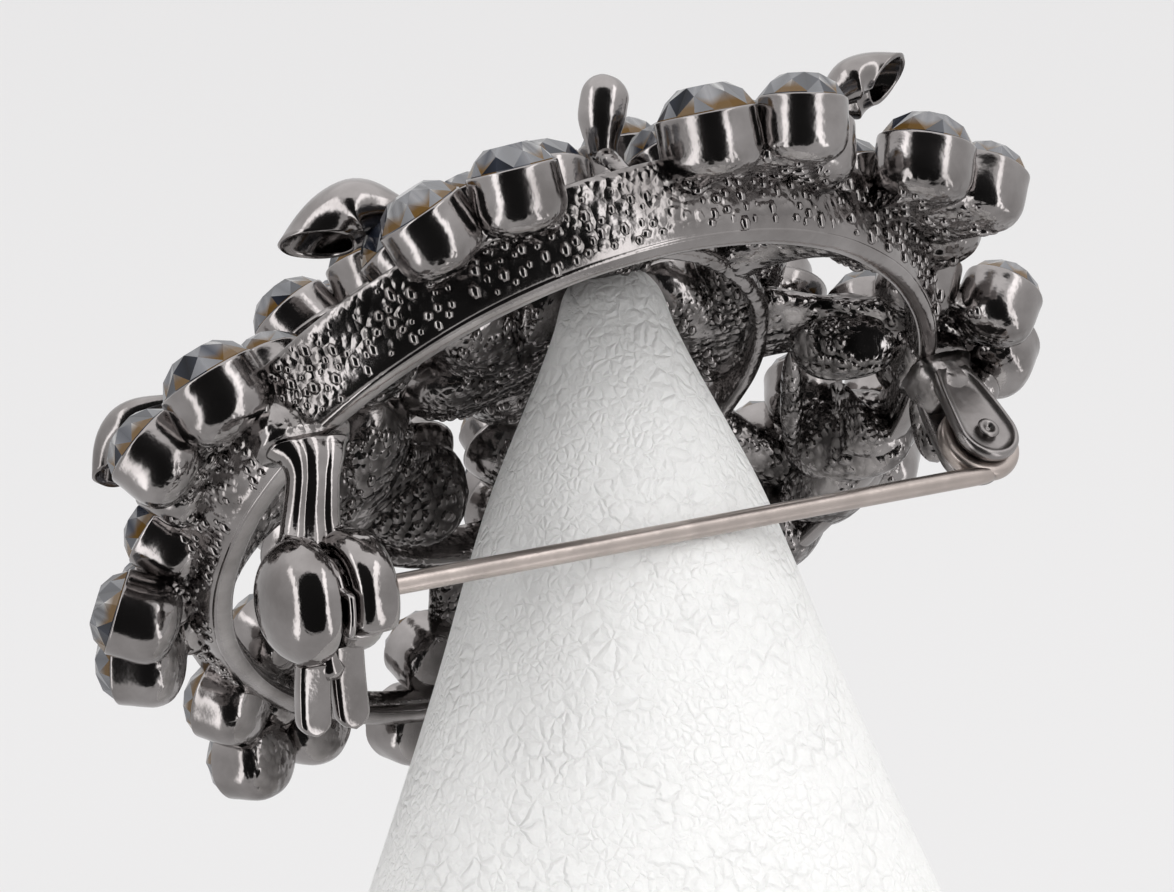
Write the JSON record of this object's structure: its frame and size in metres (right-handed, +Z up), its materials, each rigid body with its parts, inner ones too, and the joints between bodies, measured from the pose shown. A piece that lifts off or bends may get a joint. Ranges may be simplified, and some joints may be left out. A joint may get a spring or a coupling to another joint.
{
  "type": "flower brooch on display cone",
  "caption": "Cast wreath of small flowers set with faceted stones, with a hinged pin stem and a roll-over catch, resting back side to the front on the tip of a plain display cone.",
  "frame": {"origin": "centre of the display cone's flat base, on the surface it stands on", "axes": "+Z up along the cone's axis, +X to the right in the picture, -Y towards its camera"},
  "size_m": [0.0494, 0.045, 0.0557],
  "materials": {
    "gunmetal": "dark polished plating over a cast, beaded back",
    "polished_steel": "dark polished plating on pressed findings",
    "pin_wire": "drawn wire with a faint warm cast",
    "smoky_stone": "smoky grey cut stone with a gold-brown foil on its back",
    "leatherette": "white grained leatherette, matte"
  },
  "bodies": {
    "brooch_on_cone": {"casting": "gunmetal", "catch_housing": "polished_steel", "hinge_bracket": "polished_steel", "hinge_rivet": "polished_steel", "display_cone": "leatherette", "inner_stones": "smoky_stone", "centre_stones": "smoky_stone", "stone_1_1": "smoky_stone", "stone_1_2": "smoky_stone", "stone_1_3": "smoky_stone", "stone_1_5": "smoky_stone", "stone_2_1": "smoky_stone", "stone_2_2": "smoky_stone", "stone_2_3": "smoky_stone", "stone_2_5": "smoky_stone", "stone_3_1": "smoky_stone", "stone_3_2": "smoky_stone", "stone_3_4": "smoky_stone", "stone_3_5": "smoky_stone", "stone_4_1": "smoky_stone", "stone_4_2": "smoky_stone", "stone_4_4": "smoky_stone", "stone_4_5": "smoky_stone", "stone_5_1": "smoky_stone", "stone_5_2": "smoky_stone", "stone_5_3": "smoky_stone", "stone_5_5": "smoky_stone", "stone_6_1": "smoky_stone", "stone_6_2": "smoky_stone", "stone_6_4": "smoky_stone", "stone_6_5": "smoky_stone", "stone_7_1": "smoky_stone", "stone_7_2": "smoky_stone", "stone_7_4": "smoky_stone", "stone_7_5": "smoky_stone", "stone_8_1": "smoky_stone", "stone_8_2": "smoky_stone", "stone_8_4": "smoky_stone", "stone_8_5": "smoky_stone", "stone_9_1": "smoky_stone", "stone_9_2": "smoky_stone", "stone_9_4": "smoky_stone", "stone_9_5": "smoky_stone", "stone_10_1": "smoky_stone", "stone_10_2": "smoky_stone", "stone_10_3": "smoky_stone", "stone_10_5": "smoky_stone"},
    "stem": {"pin_stem": "pin_wire"},
    "lever": {"catch_lever": "polished_steel"}
  },
  "joints": [
    {"name": "stem_hinge", "type": "hinge", "parent": "brooch_on_cone", "child": "stem", "pos_m": [0.01846, 0.00239, 0.03544], "axis": [0.3464, -0.6789, 0.6474], "range_deg": [0, 70]},
    {"name": "catch_turn", "type": "hinge", "parent": "brooch_on_cone", "child": "lever", "pos_m": [-0.01404, -0.01763, 0.03184], "axis": [-0.8666, -0.4958, -0.0563], "range_deg": [0, 90]}
  ]
}
